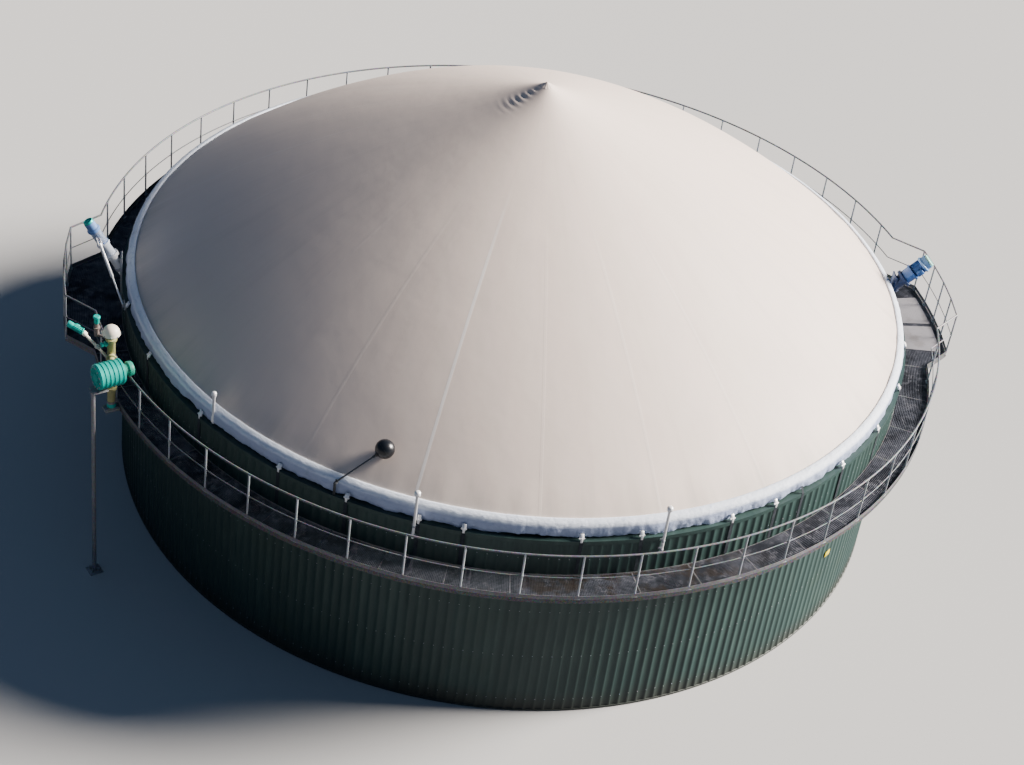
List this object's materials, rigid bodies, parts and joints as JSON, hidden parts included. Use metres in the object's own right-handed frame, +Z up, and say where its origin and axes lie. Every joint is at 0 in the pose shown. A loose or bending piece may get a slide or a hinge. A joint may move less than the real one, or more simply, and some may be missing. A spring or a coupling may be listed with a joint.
{
  "type": "biogas digester",
  "caption": "Round biogas digester: insulated tank with profiled green cladding, a pale tent-shaped membrane roof, a railed walkway round the rim, agitators and a feed gear.",
  "frame": {"origin": "on the ground at the tank's axis", "axes": "+Z up along the tank's axis; +X from the axis through the right-hand service platform; -Y is the side the picture shows"},
  "size_m": [20.6, 19.48, 10],
  "materials": {
    "concrete": "rough",
    "cladding": "satin",
    "hem": "matt",
    "membrane": "matt",
    "grating": "galvanised",
    "galvanised": "galvanised",
    "blue": "satin",
    "pale_blue": "satin",
    "teal": "satin",
    "pipe": "satin",
    "cream": "satin",
    "white": "satin",
    "black": "matt",
    "yellow": "matt"
  },
  "bodies": {
    "root": {"floor_slab": "concrete", "wall_segment_1": "cladding", "wall_segment_2": "cladding", "wall_segment_3": "cladding", "wall_segment_4": "cladding", "wall_segment_5": "cladding", "wall_segment_6": "cladding", "roof_hem_1": "hem", "roof_hem_2": "hem", "roof_hem_3": "hem", "roof_hem_4": "hem", "roof_membrane": "membrane", "roof_tip": "membrane", "walkway_back_1": "grating", "walkway_back_2": "grating", "walkway_front_1": "grating", "walkway_front_2": "grating", "railing_back_1": "galvanised", "railing_back_2": "galvanised", "railing_front_1": "galvanised", "railing_front_2": "galvanised", "platform_left": "grating", "platform_railing_left": "galvanised", "platform_right": "grating", "platform_railing_right": "galvanised", "agitator_left": "pale_blue", "agitator_left_mount": "galvanised", "agitator_left_stay": "white", "agitator_right": "blue", "agitator_right_mount": "blue", "level_ball": "black", "level_ball_arm": "black", "vent_rod_front": "white", "vent_rod_left": "white", "vent_stub_left": "white", "wall_plate": "yellow", "riser_pipe": "pipe", "riser_cap": "cream", "feed_drum": "teal", "feed_post": "galvanised", "branch_pipe": "pipe", "branch_motor": "teal", "valve_top": "teal", "valve_side": "teal"}
  },
  "joints": []
}
